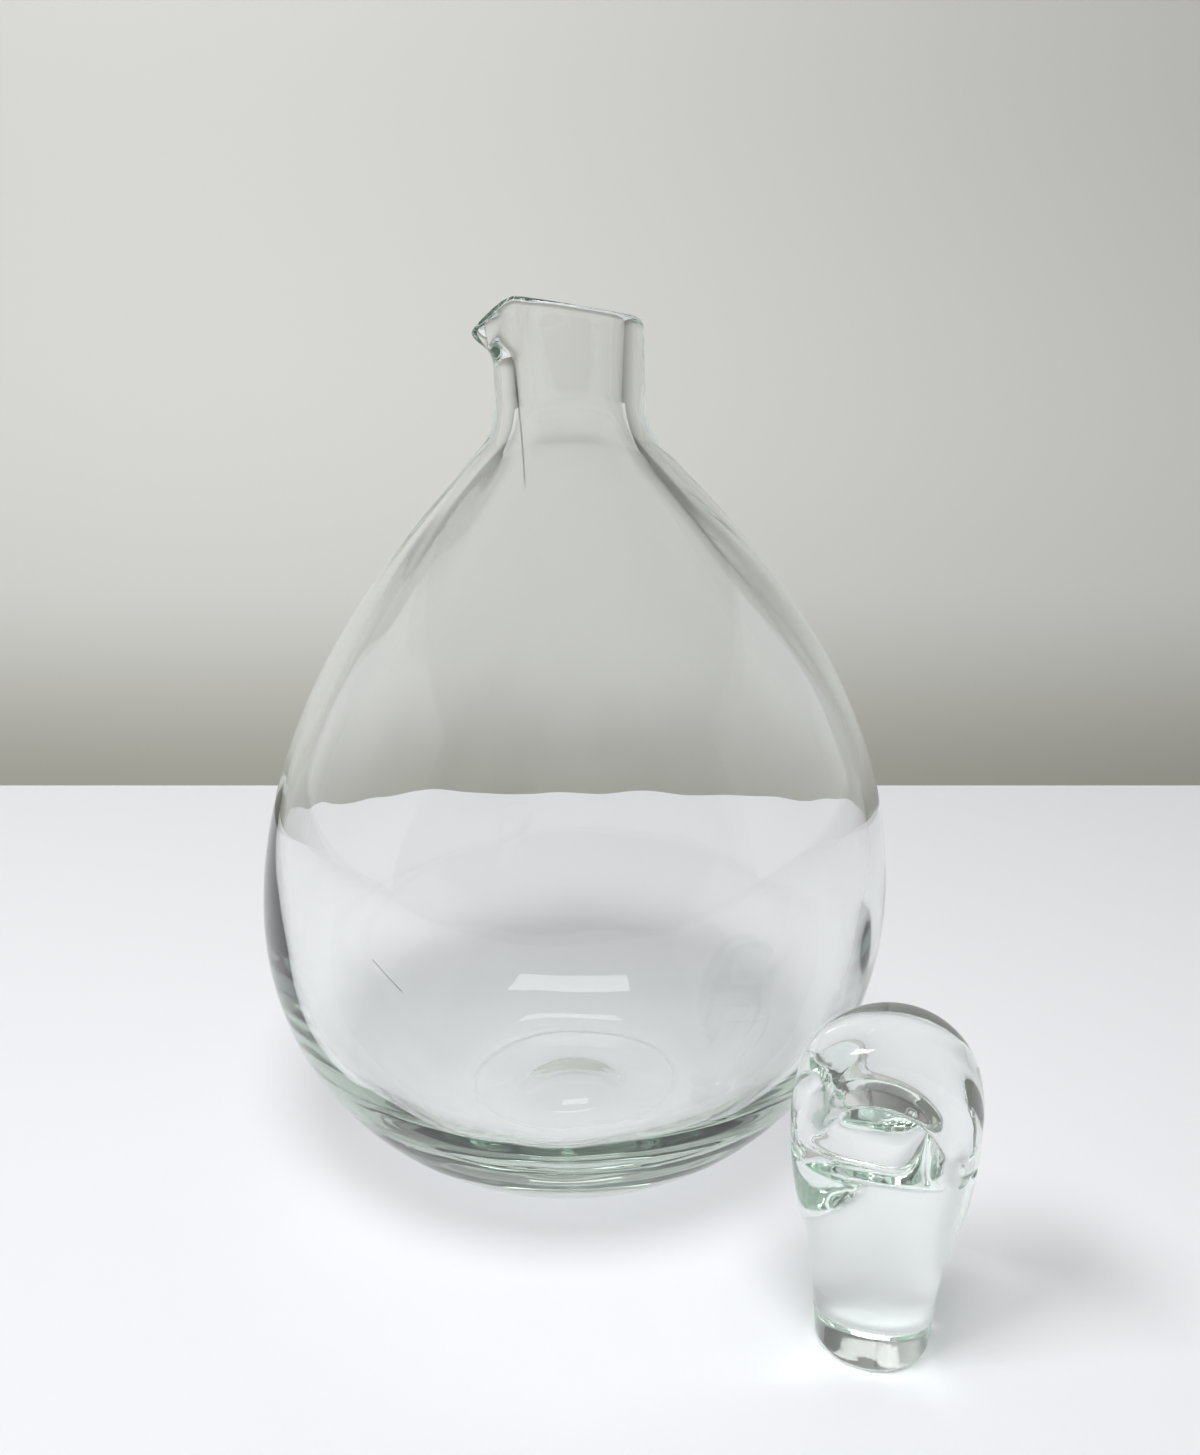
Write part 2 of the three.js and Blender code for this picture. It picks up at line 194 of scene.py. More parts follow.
class StopperSizes(bpy.types.PropertyGroup):
    """Sizes of the solid stopper."""
    seat_clearance: length("Seat clearance", "Gap between plug and mouth at the seat", 0.00015)
    seat_depth: length("Seat depth", "Length of plug below the seat", 0.013)
    plug_end_radius: length("Plug end radius", "Radius of the plug at its foot", 0.0112)
    plug_edge: length("Plug edge", "Round of the plug's lower edge", 0.0014)
    crown_height: length("Crown height", "Height of the crease around the head", 0.0425)
    crown_rise: length("Crown rise", "Dome of the head inside the crease", 0.0012)
    head_height: length("Head height", "Height where the head is widest", 0.047)
    head_half_width: length("Head half width", "Half of the width of the head", 0.0178)
    head_half_depth: length("Head half depth", "Half of the depth of the head", 0.0118)
    press_side: length("Press side", "Place of the hollow pressed into the back of the head", -0.012)
    press_height: length("Press height", "Height of the pressed hollow", 0.035)
    press_radius: length("Press radius", "Reach of the pressed hollow", 0.013)
    press_depth: length("Press depth", "Depth of the pressed hollow", 0.0036)
    head_squareness: number("Head squareness", "2 is an ellipse, more is boxier", 2.7)
    arch_centre_height: length("Arch centre height", "Height where the tongue starts to bend over", 0.0525)
    arch_rise: length("Arch rise", "Rise of the outside of the bend", 0.0192)
    arch_lean: length("Arch lean", "Lean of the outside of the bend to the right", 0.0012)
    arch_half_depth: length("Arch half depth", "Half of the tongue's depth at the top", 0.0105)
    tongue_squareness: number("Tongue squareness", "2 is an ellipse, more is boxier", 2.6)
    limb_foot_height: length("Limb foot height", "Height where the tongue turns into the head", 0.046)
    root_depth: length("Root depth", "How deep the tongue reaches into the head", 0.012)
    root_inset: length("Root inset", "How far the root moves inwards", 0.006)
    root_thickness: length("Root thickness", "Thickness of the tongue at its root", 0.0074)
    right_root_half_depth: length("Right root half depth", "Half of the depth of the tongue's right root",
                                  0.009)
    left_root_half_depth: length("Left root half depth", "Half of the depth of the tongue's left root", 0.006)
    gap_centre_height: length("Gap centre height", "Height where the gap inside the fold is widest", 0.049)
    gap_rise: length("Gap rise", "Rise of the gap's ceiling", 0.007)
    gap_lean: length("Gap lean", "Lean of the gap's ceiling to the right", -0.002)
    gap_half_width: length("Gap half width", "Half of the gap's width", 0.0098)
    gap_squareness: number("Gap squareness", "Flatness of the gap's ceiling from front to back", 6.0)
    tip_end: length("Tip end", "Where the laid-back tip ends, right of the middle", 0.0078)
    tip_half_thickness: length("Tip half thickness", "Half of the tip's thickness", 0.006)
    tip_half_depth: length("Tip half depth", "Half of the tip's depth", 0.0095)
    tip_squareness: number("Tip squareness", "2 is an ellipse, more is boxier", 2.6)
    tip_bend: length("Tip bend", "Reach of the bend between the left limb and the tip", 0.008)
    tip_sink: length("Tip sink", "How far the tip sinks into the crown", 0.0002)
    tip_forward: length("Tip forward", "How far the tip lies to the front", 0.0008)
    turn: angle("Turn", "Turn of the stopper about its own axis", -14.0)
    grain: length("Grain", "Size of the cells that melt the folds together", 0.00045)


class GlassLooks(bpy.types.PropertyGroup):
    """Finish of the glass."""
    tint: colour("Tint", "What the glass lets through", (0.6, 0.77, 0.66))
    tint_density: number("Tint density", "Strength of the tint per metre", 7.0)
    refraction: number("Refraction", "Refractive index of the glass", 1.52)
    wear_ring: length("Wear ring", "Radius of the scuffed ring under the base", 0.0275)


class StageSizes(bpy.types.PropertyGroup):
    """Table, backdrop, lights and camera."""
    table_half_width: length("Table half width", "Half of the table's width", 3.0)
    table_front: length("Table front", "Distance of the table's front edge from the vessel", 0.9)
    table_back: length("Table back", "Distance of the table's back edge from the vessel", 0.266)
    backdrop_distance: length("Backdrop distance", "Distance of the backdrop from the vessel", 1.1)
    table_colour: colour("Table colour", "Colour of the table", (0.80, 0.81, 0.84))
    backdrop_colour: colour("Backdrop colour", "Colour of the backdrop", (0.94, 0.94, 0.90))
    # Painted shadow: the backdrop's darker colour low down stands in for the shadow behind the table's edge
    backdrop_painted_shadow: colour("Backdrop foot", "Colour of the backdrop low down, behind the table's edge",
                          (0.58, 0.58, 0.505))
    room_colour: colour("Room colour", "Light that comes from the room", (0.2, 0.2, 0.195))
    camera_distance: length("Camera distance", "Level distance of the camera from the vessel", 0.2976)
    camera_side: length("Camera side", "How far the camera stands to the right", 0.0061)
    camera_height: length("Camera height", "Height of the camera over the table", 0.1903)
    camera_pitch: angle("Camera pitch", "How far the camera looks down", 16.123)
    camera_lens: number("Camera lens", "Focal length in millimetres on a 36 mm sensor", 32.165)


class Socket:
    """A shader socket that takes part in sums and products, which add Math nodes."""

    def __init__(self, tree, socket=None):
        self.tree = tree
        self.socket = socket

    def node(self, kind, settings=None, inputs=None, output=0):
        """Adds a node of any kind and returns one of its outputs."""
        made = self.tree.nodes.new(kind)
        for name, value in (settings or {}).items():
            setattr(made, name, value)
        for name, value in (inputs or {}).items():
            if isinstance(value, Socket):
                self.tree.links.new(value.socket, made.inputs[name])
            else:
                made.inputs[name].default_value = value
        return Socket(self.tree, made.outputs[output])

    def math(self, operation, first, second):
        return self.node("ShaderNodeMath", {"operation": operation}, {0: first, 1: second})

    def __add__(self, other):
        return self.math("ADD", self, other)

    __radd__ = __add__

    def __sub__(self, other):
        return self.math("SUBTRACT", self, other)

    def __rsub__(self, other):
        return self.math("SUBTRACT", other, self)

    def __mul__(self, other):
        return self.math("MULTIPLY", self, other)

    __rmul__ = __mul__

    def __abs__(self):
        return self.math("ABSOLUTE", self, 0.0)

    def step(self, low, high):
        """Smooth rise from 0 at low to 1 at high."""
        return self.node("ShaderNodeMapRange", {"interpolation_type": "SMOOTHSTEP"},
                         {"Value": self, "From Min": low, "From Max": high})

    def feed(self, socket):
        self.tree.links.new(self.socket, socket)


def smoothstep(value, low, high):
    """Smooth rise from 0 at low to 1 at high."""
    share = min(max((value - low) / (high - low), 0.0), 1.0)
    return share * share * (3.0 - 2.0 * share)


def lerp(a, b, share):
    """Value between a and b."""
    return a + (b - a) * share


def bezier(points, steps):
    """Points of a Bezier curve of any degree, both ends included."""
    curve = []
    for k in range(steps + 1):
        share = k / steps
        row = [Vector(p) for p in points]
        while len(row) > 1:
            row = [a.lerp(b, share) for a, b in zip(row, row[1:])]
        curve.append(row[0])
    return curve


def mesh_piece(name, verts, faces, material):
    """Smooth piece that keeps its sharp creases."""
    mesh = bpy.data.meshes.new(name)
    mesh.from_pydata(verts, [], faces)
    mesh.validate()
    mesh.shade_smooth()
    mesh.set_sharp_from_angle(angle=CREASE_ANGLE)
    piece = bpy.data.objects.new(name, mesh)
    piece.data.materials.append(material)
    bpy.context.scene.collection.objects.link(piece)
    return piece


def dress(piece, node):
    """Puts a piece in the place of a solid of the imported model."""
    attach(piece, node)
    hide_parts(node)


def vessel_profile(sizes):
    """Half section from the middle of the ground mark round to the middle of the inside floor.

    Returns its points and the place in them where the outer face ends.
    """
    slope = Vector((math.cos(sizes.shoulder_angle), -math.sin(sizes.shoulder_angle)))
    neck_base = sizes.rim_height - sizes.neck_length
    inner_belly = sizes.belly_radius - sizes.belly_wall
    neck_wall = sizes.neck_radius - sizes.bore_throat_radius
    wall_drop = (sizes.shoulder_wall + neck_wall * slope.y) / slope.x
    bore_base = neck_base - wall_drop
    rim_round = (sizes.neck_radius - sizes.bore_mouth_radius) / 2
    rim_middle = Vector((sizes.neck_radius - rim_round, sizes.rim_height - rim_round))
    bend = Vector((sizes.neck_radius, neck_base)) + sizes.neck_fillet * slope
    bore_bend = Vector((sizes.bore_throat_radius, bore_base)) + sizes.bore_fillet * slope
    hollow_height = sizes.belly_height + sizes.hollow_rise
    above = sizes.belly_height + sizes.upper_fullness
    below = sizes.belly_height - sizes.lower_fullness

    mark = bezier([(0, sizes.pontil_depth), (sizes.pontil_radius / 2, sizes.pontil_depth),
                   (sizes.pontil_radius, 0)], MARK_STEPS)
    flat = bezier([(sizes.pontil_radius, 0), (sizes.base_radius, 0)], FLAT_STEPS)
    lower = bezier([(sizes.base_radius, 0), (sizes.base_radius + sizes.foot_reach, 0),
                    (sizes.belly_radius, below), (sizes.belly_radius, sizes.belly_height)], BODY_STEPS)
    upper = bezier([(sizes.belly_radius, sizes.belly_height), (sizes.belly_radius, above),
                    bend + sizes.shoulder_reach * slope, bend], BODY_STEPS)
    neck = bezier([bend, (sizes.neck_radius, neck_base),
                   (sizes.neck_radius, neck_base + sizes.neck_fillet)], FILLET_STEPS)
    neck_rise = bezier([(sizes.neck_radius, neck_base + sizes.neck_fillet),
                        (sizes.neck_radius, rim_middle.y)], NECK_STEPS)
    rim = [rim_middle + rim_round * Vector((math.cos(turn), math.sin(turn)))
           for turn in (math.pi * k / RIM_STEPS for k in range(RIM_STEPS + 1))]
    bore = bezier([(sizes.bore_mouth_radius, rim_middle.y),
                   (sizes.bore_throat_radius, bore_base + sizes.bore_fillet)], NECK_STEPS)
    throat = bezier([(sizes.bore_throat_radius, bore_base + sizes.bore_fillet),
                     (sizes.bore_throat_radius, bore_base), bore_bend], FILLET_STEPS)
    inner_upper = bezier([bore_bend, bore_bend + sizes.shoulder_reach * slope,
                          (inner_belly, above), (inner_belly, hollow_height)], BODY_STEPS)
    inner_lower = bezier([(inner_belly, hollow_height), (inner_belly, hollow_height - sizes.hollow_fullness),
                          (sizes.floor_reach, sizes.base_thickness), (0, sizes.base_thickness)], FLOOR_STEPS)
    outer = (mark, flat, lower, upper, neck, neck_rise)
    inner = (rim, bore, throat, inner_upper, inner_lower)
    points = []
    for stretch in outer + inner:
        points += stretch if not points else stretch[1:]
    outside = sum(len(stretch) - 1 for stretch in outer)
    return points, outside


def blown_wave(turn, height, phase):
    """Gentle unevenness of blown glass, between -1 and 1."""
    rise = height / WAVE_SPAN
    return sum(share * math.sin(turns * turn + climb * rise + shift * phase)
               for share, turns, climb, shift in WAVES)


def shape_by_hand(point, sizes):
    """Leans the rim, pulls the lip out of it and lets the wall drift sideways."""
    x, y, z = point
    lip_turn = abs(math.atan2(y, -x)) / sizes.lip_half_angle
    lip_round = (1 + math.cos(math.pi * lip_turn)) / 2 if lip_turn < 1 else 0.0
    lip = lip_round * smoothstep(z, sizes.rim_height - sizes.lip_depth, sizes.rim_height)
    lean = smoothstep(z, sizes.rim_height - sizes.neck_length, sizes.rim_height) * sizes.rim_slope
    radius = math.hypot(x, y)
    spread = (radius + sizes.lip_reach * lip) / radius if radius > 0 else 1.0
    drift = sizes.sway * math.sin(2 * math.pi * (z - sizes.belly_height) / sizes.rim_height)
    return Vector((x * spread + drift, y * spread, z - lean * x - sizes.lip_droop * lip))


def vessel_mesh(sizes, around=224):
    """Vertices and faces of the vessel, a profile turned about its axis and then shaped by hand."""
    profile, outside = vessel_profile(sizes)
    verts = []
    rings = []
    for place, (radius, height) in enumerate(profile):
        if place in (0, len(profile) - 1):
            rings.append([len(verts)] * around)
            verts.append(shape_by_hand(Vector((0.0, 0.0, height)), sizes))
            continue
        blown = smoothstep(height, *WAVES_BEGIN) * (1 - smoothstep(height, *WAVES_END))
        rings.append(range(len(verts), len(verts) + around))
        for k in range(around):
            turn = 2 * math.pi * k / around
            if place < outside:
                swell = -sizes.waviness * blown * (1 - blown_wave(turn, height, OUTER_PHASE))
            else:
                swell = sizes.waviness * blown * 2 * blown_wave(turn, height, INNER_PHASE)
            spot = Vector(((radius + swell) * math.cos(turn), (radius + swell) * math.sin(turn), height))
            verts.append(shape_by_hand(spot, sizes))
    faces = []
    for low, high in zip(rings, rings[1:]):
        for k in range(around):
            after = (k + 1) % around
            corners = [low[k], low[after], high[after], high[k]]
            faces.append(tuple(dict.fromkeys(corners)))
    return [v + VESSEL_AXIS for v in verts], faces


def oval_ring(centre, forward, half_thickness, half_depth, squareness, shift=0.0, inner_squareness=None,
              around=64):
    """Rounded ring in the plane across a path that runs in the XZ plane."""
    ring = []
    for k in range(around):
        turn = 2 * math.pi * k / around
        power = 2 / (inner_squareness if inner_squareness and math.cos(turn) < 0 else squareness)
        across, depth = (math.copysign(abs(v) ** power, v) for v in (math.cos(turn), math.sin(turn)))
        across *= half_thickness
        ring.append(Vector((centre[0] + across * forward[1], depth * half_depth + shift,
                            centre[1] - across * forward[0])))
    return ring


def loft(rings):
    """Vertices and faces of a closed skin over rings."""
    around = len(rings[0])
    verts = [p for ring in rings for p in ring]
    faces = []
    for i in range(len(rings) - 1):
        for k in range(around):
            a = i * around + k
            b = i * around + (k + 1) % around
            faces.append((a, b, b + around, a + around))
    faces.append(tuple(reversed(range(around))))
    faces.append(tuple(range(len(verts) - around, len(verts))))
    return verts, faces


def plug_rings(sizes, mouth_radius):
    """Plug that grows from the seat into the flattened head."""
    seat_radius = mouth_radius - sizes.seat_clearance

    def ring(z, height, keep=1.0, trim=0.0):
        plug = lerp(sizes.plug_end_radius, seat_radius, z / sizes.seat_depth)
        flare = smoothstep(z, sizes.seat_depth, sizes.head_height)
        half_width = lerp(plug, sizes.head_half_width, flare) * keep - trim
        half_depth = lerp(plug, sizes.head_half_depth, flare) * keep - trim
        points = oval_ring((0, height), (0, 1), half_width, half_depth, lerp(2, sizes.head_squareness, flare))
        for p in points:
            reach = math.hypot(p.x - sizes.press_side, p.z - sizes.press_height) / sizes.press_radius
            if p.y > 0 and keep == 1.0:
                p.y -= sizes.press_depth * (1 - smoothstep(reach, 0.0, 1.0))
        return points

    rings = []
    for k in range(EDGE_STEPS + 1):
        turn = k / EDGE_STEPS * math.pi / 2
        z = sizes.plug_edge * (1 - math.cos(turn))
        rings.append(ring(z, z, trim=sizes.plug_edge * (1 - math.sin(turn))))
    for k in range(1, PLUG_STEPS + 1):
        z = lerp(sizes.plug_edge, sizes.crown_height, k / PLUG_STEPS)
        rings.append(ring(z, z))
    for k in range(1, CROWN_STEPS):
        turn = k / CROWN_STEPS * math.pi / 2
        rise = sizes.crown_rise * math.sin(turn)
        rings.append(ring(sizes.crown_height, sizes.crown_height + rise, keep=math.cos(turn)))
    return rings


def tongue_edges(sizes):
    """Outer and inner edge of the tongue, from its right root over the arch to its left root."""
    root_height = sizes.limb_foot_height - sizes.root_depth

    def limb(side):
        width = side * sizes.head_half_width
        gap = side * sizes.gap_half_width
        root = width - side * sizes.root_inset
        outer = [(root, root_height), (width, sizes.limb_foot_height), (width, sizes.arch_centre_height)]
        inner = [(root - side * sizes.root_thickness, root_height), (gap, sizes.limb_foot_height),
                 (gap, sizes.gap_centre_height)]
        return [pair for k, steps in ((0, ROOT_STEPS), (1, LIMB_STEPS)) for pair in
                list(zip(bezier(outer[k:k + 2], steps), bezier(inner[k:k + 2], steps)))[:-1]]

    arch = []
    for k in range(ARCH_STEPS + 1):
        turn = math.pi * k / ARCH_STEPS
        rise = math.sin(turn)
        outer = (sizes.head_half_width * math.cos(turn) + sizes.arch_lean * rise,
                 sizes.arch_centre_height + sizes.arch_rise * rise)
        inner = (sizes.gap_half_width * math.cos(turn) + sizes.gap_lean * rise,
                 sizes.gap_centre_height + sizes.gap_rise * rise)
        arch.append((Vector(outer), Vector(inner)))
    return limb(1) + arch + limb(-1)[::-1]


def arch_rings(sizes):
    """Tongue up the right side of the head, over in a thick arch and down on the left."""
    rings = []
    for outer, inner in tongue_edges(sizes):
        middle = (outer + inner) / 2
        across = outer - inner
        forward = Vector((-across.y, across.x)).normalized()
        rise = smoothstep(middle.y, sizes.limb_foot_height - sizes.root_depth, sizes.arch_centre_height)
        root_half_depth = sizes.right_root_half_depth if middle.x > 0 else sizes.left_root_half_depth
        half_depth = lerp(root_half_depth, sizes.arch_half_depth, rise)
        rings.append(oval_ring(middle, forward, across.length / 2, half_depth, sizes.tongue_squareness,
                               inner_squareness=sizes.gap_squareness))
    return rings


def tip_rings(sizes):
    """Rounded end of the tongue, which bends out of the left limb and lies along the crown."""
    height = sizes.crown_height + sizes.tip_half_thickness - sizes.tip_sink
    limb_half_thickness = (sizes.head_half_width - sizes.gap_half_width) / 2
    limb = limb_half_thickness - sizes.head_half_width
    round_from = sizes.tip_end - sizes.tip_half_thickness
    bend = bezier([(limb, sizes.arch_centre_height), (limb, height), (limb + sizes.tip_bend, height)],
                  TIP_BEND_STEPS)
    path = bend + bezier([bend[-1], (round_from, height)], TIP_STEPS)[1:]
    rings = []
    for k, middle in enumerate(path[:-1]):
        share = k / (len(path) - 1)
        forward = (path[k + 1] - path[max(k - 1, 0)]).normalized()
        half_thickness = lerp(limb_half_thickness, sizes.tip_half_thickness, share)
        half_depth = lerp(sizes.arch_half_depth, sizes.tip_half_depth, share)
        inner_squareness = lerp(sizes.gap_squareness, sizes.tip_squareness, share)
        rings.append(oval_ring(middle, forward, half_thickness, half_depth, sizes.tip_squareness,
                               -sizes.tip_forward * share, inner_squareness))
    for k in range(TIP_ROUND_STEPS):
        turn = k / TIP_ROUND_STEPS * math.pi / 2
        keep = math.cos(turn)
        along = round_from + sizes.tip_half_thickness * math.sin(turn)
        rings.append(oval_ring((along, height), (1, 0), sizes.tip_half_thickness * keep,
                               sizes.tip_half_depth * keep, sizes.tip_squareness, -sizes.tip_forward))
    return rings


def stopper_mesh(sizes, mouth_radius):
    """Three overlapping skins, placed where the stopper stands."""
    place = Matrix.Translation(STOPPER_FOOT) @ Matrix.Rotation(sizes.turn, 4, "Z")
    verts, faces = [], []
    for rings in (plug_rings(sizes, mouth_radius), arch_rings(sizes), tip_rings(sizes)):
        points, sides = loft(rings)
        first = len(verts)
        verts += [place @ p for p in points]
        faces += [tuple(first + c for c in side) for side in sides]
    return verts, faces


def melt_together(piece, grain):
    """Turns overlapping skins into one smooth skin."""
    remesh = piece.modifiers.new("Melt", "REMESH")
    remesh.mode = "VOXEL"
    remesh.voxel_size = grain
    smooth = piece.modifiers.new("Fire polish", "SMOOTH")
    smooth.factor = POLISH_STRENGTH
    smooth.iterations = POLISH_ROUNDS
    seen = piece.evaluated_get(bpy.context.evaluated_depsgraph_get())
    skin = bpy.data.meshes.new_from_object(seen)
    skin.name = piece.name
    rough = piece.data
    piece.modifiers.clear()
    piece.data = skin
    bpy.data.meshes.remove(rough)
    skin.shade_smooth()


def blend(start, factor, first, second):
    """Colour between two others."""
    return start.node("ShaderNodeMix", {"data_type": "RGBA"},
                      {"Factor": factor, 6: first, 7: second}, output=2)


def uneven(start, height, strength):
    """Normal of a slightly uneven face."""
    return start.node("ShaderNodeBump",
                      inputs={"Strength": strength, "Distance": BUMP_DEPTH, "Height": height})


def clear_glass(name, looks):
    """Glass with a faint tint in its depth. Returns the material, its surface and a start for its nodes."""
    material = bpy.data.materials.new(name)
    material.use_nodes = True
    tree = material.node_tree
    surface = tree.nodes["Principled BSDF"]
    surface.inputs["Base Color"].default_value = CLEAR
    surface.inputs["IOR"].default_value = looks.refraction
    surface.inputs["Transmission Weight"].default_value = 1.0
    start = Socket(tree)
    depth = start.node("ShaderNodeVolumeAbsorption",
                       inputs={"Color": (*looks.tint, 1.0), "Density": looks.tint_density})
    depth.feed(tree.nodes["Material Output"].inputs["Volume"])
    return material, surface, start


def vessel_marks(start, spot, radius, height, patches):
    """Dark line down the front of the neck and a broken nick on the belly, both on the outer face."""
    side = start.node("ShaderNodeSeparateXYZ", inputs={0: spot}, output="X")
    front = 1 - start.node("ShaderNodeSeparateXYZ", inputs={0: spot}, output="Y").step(*FRONT)
    flare = NECK_FLARE * start.math("MAXIMUM", NECK_FOOT - height, 0.0)
    # Dark line painted down the front of the neck in the base colour
    neck_line = 1 - abs(side - NECK_LINE_SIDE - NECK_LINE_LEAN * (height - NECK_LINE_HEIGHT)).step(*NECK_LINE_EDGE)
    neck_line *= (radius - flare).step(*NECK_FACE)
    neck_line *= height.step(*NECK_LINE_FOOT) * (1 - height.step(*NECK_LINE_TOP))
    nick = 1 - abs(height - NICK_HEIGHT + NICK_FALL * (side - NICK_SIDE)).step(*NICK_EDGE)
    nick *= patches.step(*NICK_BREAKS) * radius.step(*BELLY_FACE)
    nick *= side.step(*NICK_LEFT) * (1 - side.step(*NICK_RIGHT))
    return front * (neck_line + nick)


def vessel_glass(looks):
    """Blown glass with faint streaks, fine scratches, two marks and a scuffed ring under the base."""
    material, surface, start = clear_glass("vessel_glass", looks)
    place = start.node("ShaderNodeTexCoord", output="Object")
    spot = start.node("ShaderNodeVectorMath", {"operation": "SUBTRACT"}, {0: place, 1: VESSEL_AXIS})
    level = start.node("ShaderNodeVectorMath", {"operation": "MULTIPLY"}, {0: spot, 1: (1.0, 1.0, 0.0)})
    radius = start.node("ShaderNodeVectorMath", {"operation": "LENGTH"}, {0: level}, output="Value")
    height = start.node("ShaderNodeSeparateXYZ", inputs={0: spot}, output="Z")
    ring = (1 - abs(radius - looks.wear_ring).step(*RING_EDGE)) * (1 - height.step(*RING_TOP))
    lines = start.node("ShaderNodeTexVoronoi", {"feature": "DISTANCE_TO_EDGE"},
                       {"Vector": spot, "Scale": SCRATCH_SCALE})
    patches = start.node("ShaderNodeTexNoise", inputs={"Vector": spot, "Scale": PATCH_SCALE, "Detail": 3.0})
    scratches = (1 - lines.step(*SCRATCH_EDGE)) * patches.step(*PATCH_EDGE)
    (RING_ROUGHNESS * ring + SCRATCH_ROUGHNESS * scratches).feed(surface.inputs["Roughness"])
    marks = vessel_marks(start, spot, radius, height, patches)
    blend(start, marks, CLEAR, MARKED).feed(surface.inputs["Base Color"])
    drawn = start.node("ShaderNodeMapping", inputs={"Vector": spot, "Scale": STREAK_STRETCH})
    streaks = start.node("ShaderNodeTexNoise", inputs={"Vector": drawn, "Scale": STREAK_SCALE, "Detail": 2.0})
    uneven(start, streaks, STREAK_STRENGTH).feed(surface.inputs["Normal"])
    return material


def stopper_glass(looks):
    """Solid glass with soft tool marks and fine specks."""
    material, surface, start = clear_glass("stopper_glass", looks)
    place = start.node("ShaderNodeTexCoord", output="Object")
    tooled = start.node("ShaderNodeTexNoise", inputs={"Vector": place, "Scale": TOOL_SCALE, "Detail": 2.0})
    specks = start.node("ShaderNodeTexNoise", inputs={"Vector": place, "Scale": SPECK_SCALE, "Detail": 1.0})
    (SPECK_ROUGHNESS * specks.step(*SPECK_EDGE)).feed(surface.inputs["Roughness"])
    uneven(start, tooled, TOOL_STRENGTH).feed(surface.inputs["Normal"])
    return material


def light_group(name):
    """Collection of pieces for the lights, made when it is first asked for."""
    return bpy.data.collections.get(name) or bpy.data.collections.new(name)


class DECANTER_OT_vessel(bpy.types.Operator):
    """Build the blown vessel with its neck, pouring lip and ground base."""
    bl_idname = "decanter.vessel"
    bl_label = "Vessel"

    def execute(self, context):
        scene = context.scene
        verts, faces = vessel_mesh(scene.decanter_vessel)
        piece = mesh_piece("vessel_blown", verts, faces, vessel_glass(scene.decanter_glass))
        dress(piece, "vessel")
        light_group(VESSEL).objects.link(piece)
        return {"FINISHED"}


class DECANTER_OT_stopper(bpy.types.Operator):
    """Build the solid stopper with its tapered plug and folded tongue."""
    bl_idname = "decanter.stopper"
    bl_label = "Stopper"

    def execute(self, context):
        scene = context.scene
        sizes = scene.decanter_stopper
        verts, faces = stopper_mesh(sizes, scene.decanter_vessel.bore_mouth_radius)
        piece = mesh_piece("stopper_curled", verts, faces, stopper_glass(scene.decanter_glass))
        melt_together(piece, sizes.grain)
        dress(piece, "stopper")
        light_group(BESIDE).objects.link(piece)
        return {"FINISHED"}


def table_top(stage):
    """Pale satin table."""
    material = bpy.data.materials.new("table")
    material.use_nodes = True
    surface = material.node_tree.nodes["Principled BSDF"]
    surface.inputs["Base Color"].default_value = (*stage.table_colour, 1.0)
    surface.inputs["Roughness"].default_value = TABLE_ROUGHNESS
    return material


def backdrop_paper(stage):
    """Matt paper, darker low down, high up and towards the right: painted shade, with a painted shadow low
    down behind the table's edge.
    """
    material = bpy.data.materials.new("backdrop")
    material.use_nodes = True
    surface = material.node_tree.nodes["Principled BSDF"]
    surface.inputs["Roughness"].default_value = BACKDROP_ROUGHNESS
    start = Socket(material.node_tree)
    place = start.node("ShaderNodeTexCoord", output="Object")
    height = start.node("ShaderNodeSeparateXYZ", inputs={0: place}, output="Z")
    right = start.node("ShaderNodeSeparateXYZ", inputs={0: place}, output="X").step(*RIGHT_FADE)
    # The darker colour at the foot is a painted shadow behind the table's edge
    foot, full = (*stage.backdrop_painted_shadow, 1.0), (*stage.backdrop_colour, 1.0)
    tone = blend(start, height.step(*FOOT_FADE), foot, full)
    # Painted shade: darker towards the right and high up, where the light falls off
    shade = 1 - RIGHT_PAINTED_SHADE * right
    shade *= 1 - LIFT_PAINTED_SHADE * height.step(*LIFT_FADE)
    shade *= 1 - DUSK_PAINTED_SHADE * height.step(*DUSK_FADE)
    start.node("ShaderNodeVectorMath", {"operation": "SCALE"}, {0: tone, "Scale": shade}).feed(
        surface.inputs["Base Color"])
    return material


def stage_sheet(name, corners, material):
    """Flat sheet of the stage, placed from the foot of the vessel."""
    mesh = bpy.data.meshes.new(name)
    mesh.from_pydata([VESSEL_AXIS + Vector(c) for c in corners], [], [tuple(range(len(corners)))])
    sheet = bpy.data.objects.new(name, mesh)
    sheet.data.materials.append(material)
    bpy.context.scene.collection.objects.link(sheet)
    return sheet


def soft_light(name, place, aim, size, power):
    """Area light, placed and aimed from the foot of the vessel."""
    lamp = bpy.data.lights.new(name, "AREA")
    lamp.shape = "RECTANGLE"
    lamp.size, lamp.size_y = size
    lamp.energy = power
    light = bpy.data.objects.new(name, lamp)
    light.location = VESSEL_AXIS + Vector(place)
    light.rotation_euler = (Vector(aim) - Vector(place)).to_track_quat("-Z", "Y").to_euler()
    bpy.context.scene.collection.objects.link(light)
    return light


def stage_lights(table, backdrop):
    """Soft lights, each linked to the pieces that it falls on."""
    for name, group, place, aim, size, power in LIGHTS:
        light = soft_light(name, place, aim, size, power)
        light.visible_glossy = name not in NOT_MIRRORED
        light.light_linking.receiver_collection = light_group(group)
        if name in NOT_SHADED_BY_VESSEL:
            light.light_linking.blocker_collection = light_group(BESIDE)
    light_group(BESIDE).objects.link(table)
    for group in (BESIDE, WASHED):
        light_group(group).objects.link(backdrop)


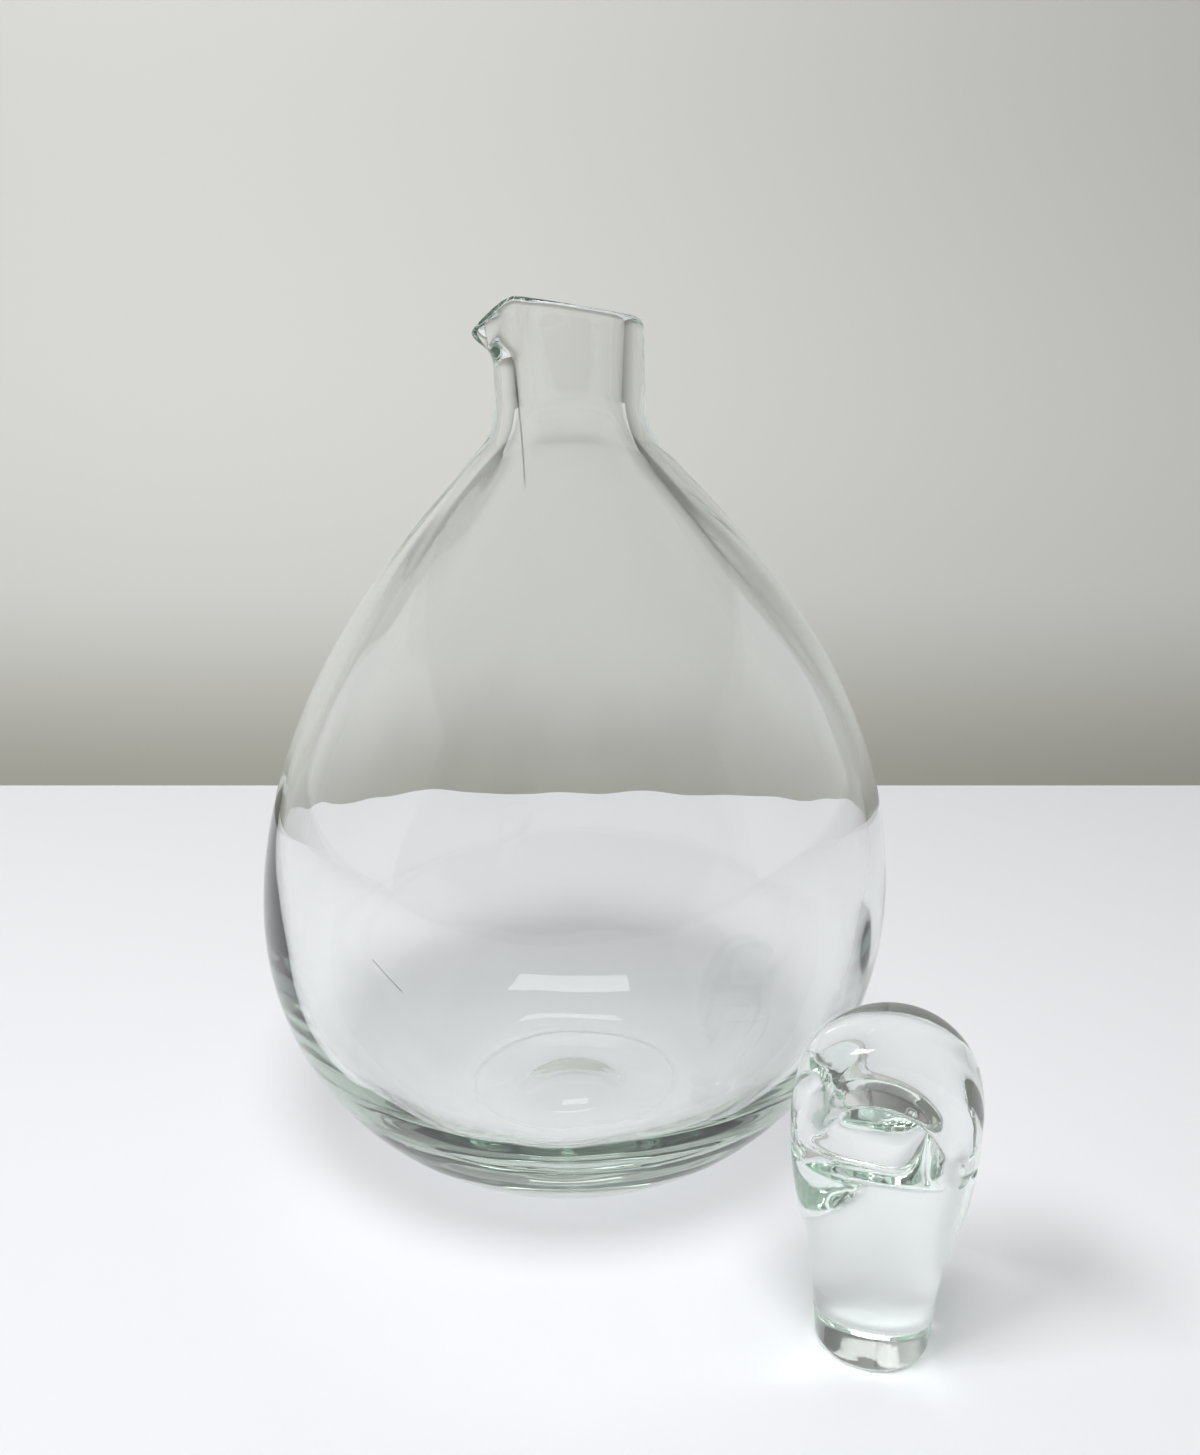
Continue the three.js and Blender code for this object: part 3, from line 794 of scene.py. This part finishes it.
def stage_camera(scene, stage):
    """Camera in front of the vessel, looking slightly down."""
    camera = bpy.data.objects.new("camera", bpy.data.cameras.new("camera"))
    camera.data.lens = stage.camera_lens
    camera.data.sensor_width = SENSOR_WIDTH
    stand = Vector((stage.camera_side, -stage.camera_distance, stage.camera_height))
    camera.location = VESSEL_AXIS + stand
    camera.rotation_euler = (math.pi / 2 - stage.camera_pitch, 0.0, 0.0)
    scene.collection.objects.link(camera)
    scene.camera = camera


class DECANTER_OT_stage(bpy.types.Operator):
    """Build the table, the backdrop, the lights and the camera."""
    bl_idname = "decanter.stage"
    bl_label = "Stage"

    def execute(self, context):
        scene = context.scene
        stage = scene.decanter_stage
        side, front, back = stage.table_half_width, -stage.table_front, stage.table_back
        level = [(-side, front), (side, front), (side, back), (-side, back)]
        table = stage_sheet("table", [(x, y, -TABLE_DROP) for x, y in level], table_top(stage))
        far = stage.backdrop_distance
        upright = [(BACKDROP_SIDE, BACKDROP_LOW), (-BACKDROP_SIDE, BACKDROP_LOW),
                   (-BACKDROP_SIDE, BACKDROP_HIGH), (BACKDROP_SIDE, BACKDROP_HIGH)]
        backdrop = stage_sheet("backdrop", [(x, far, z) for x, z in upright], backdrop_paper(stage))
        world = bpy.data.worlds.new("room")
        world.use_nodes = True
        world.node_tree.nodes["Background"].inputs["Color"].default_value = (*stage.room_colour, 1.0)
        scene.world = world
        stage_lights(table, backdrop)
        stage_camera(scene, stage)
        scene.view_settings.view_transform = "Standard"
        scene.cycles.blur_glossy = 0.0
        scene.cycles.max_bounces = GLASS_BOUNCES
        scene.cycles.glossy_bounces = GLASS_BOUNCES
        scene.cycles.transmission_bounces = GLASS_BOUNCES
        return {"FINISHED"}


class DECANTER_PT_sidebar(bpy.types.Panel):
    """Lists the pieces and their sizes."""
    bl_idname = "DECANTER_PT_sidebar"
    bl_label = "Decanter"
    bl_space_type = "VIEW_3D"
    bl_region_type = "UI"
    bl_category = "Decanter"

    def draw(self, context):
        rows = ((DECANTER_OT_vessel, "decanter_vessel"), (DECANTER_OT_stopper, "decanter_stopper"),
                (None, "decanter_glass"), (DECANTER_OT_stage, "decanter_stage"))
        for operator, group in rows:
            box = self.layout.box()
            if operator:
                box.operator(operator.bl_idname)
            sizes = getattr(context.scene, group)
            for name in sizes.bl_rna.properties.keys():
                if name not in ("rna_type", "name"):
                    box.prop(sizes, name)


GROUPS = {
    "decanter_vessel": VesselSizes,
    "decanter_stopper": StopperSizes,
    "decanter_glass": GlassLooks,
    "decanter_stage": StageSizes,
}
CLASSES = (*GROUPS.values(), DECANTER_OT_vessel, DECANTER_OT_stopper, DECANTER_OT_stage, DECANTER_PT_sidebar)


def register():
    for kind in CLASSES:
        bpy.utils.register_class(kind)
    for name, kind in GROUPS.items():
        setattr(bpy.types.Scene, name, bpy.props.PointerProperty(type=kind))


def unregister():
    for name in GROUPS:
        delattr(bpy.types.Scene, name)
    for kind in reversed(CLASSES):
        bpy.utils.unregister_class(kind)


def main():
    register()
    bpy.ops.decanter.stage()
    bpy.ops.decanter.vessel()
    bpy.ops.decanter.stopper()


if __name__ == "__main__":
    main()
